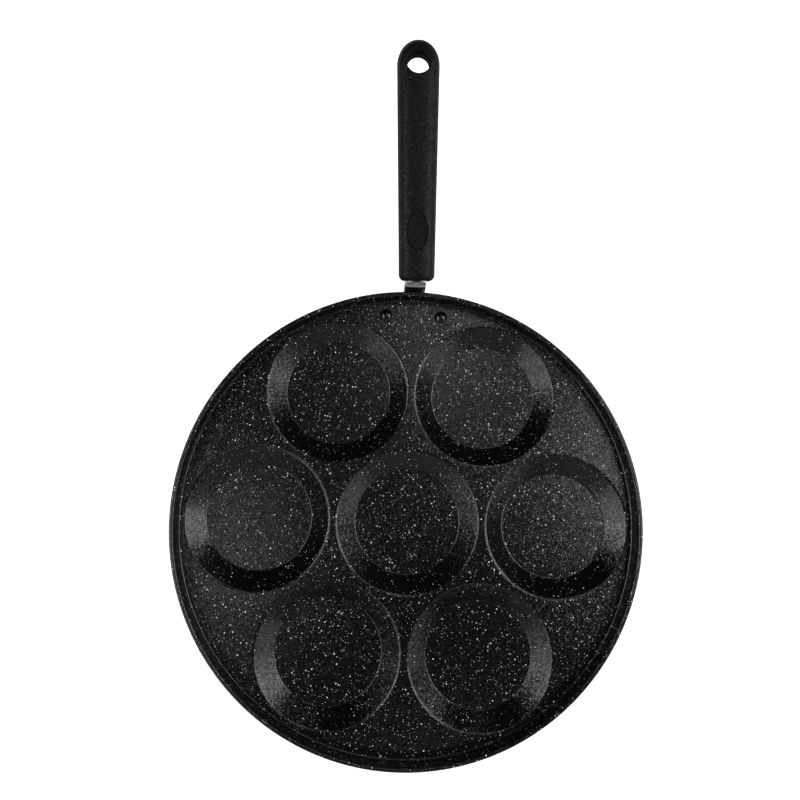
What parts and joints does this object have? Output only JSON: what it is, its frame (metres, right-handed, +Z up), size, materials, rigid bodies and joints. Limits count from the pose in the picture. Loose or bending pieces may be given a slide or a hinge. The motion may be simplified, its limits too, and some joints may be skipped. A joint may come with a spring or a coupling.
{
  "type": "multi-well frying pan",
  "caption": "Round shallow frying pan with sunken round wells for pancakes or eggs, a low lip and a riveted bracket carrying a moulded handle with a hanging hole.",
  "frame": {"origin": "middle of the flat underside of the centre well, on the plane that the pan stands on", "axes": "+Z up, +Y from the pan's centre towards the handle, +X to the right seen from above with the handle pointing away"},
  "size_m": [0.2704, 0.4098, 0.0571],
  "materials": {
    "stone_coat": "pressed aluminium with a black stone-effect non-stick coat, flecked with grey and white",
    "rivet": "aluminium rivet with a smooth glossy black coat",
    "bracket_steel": "bare rolled steel strip, satin",
    "grip_phenolic": "black phenolic moulding with a fine matt grain",
    "fastener_zinc": "bright zinc-plated steel"
  },
  "bodies": {
    "root": {"pan_body": "stone_coat", "rivet_left": "rivet", "rivet_right": "rivet", "handle_bracket": "bracket_steel", "handle_grip": "grip_phenolic", "handle_screw": "fastener_zinc", "spring_washer": "fastener_zinc"}
  },
  "joints": []
}
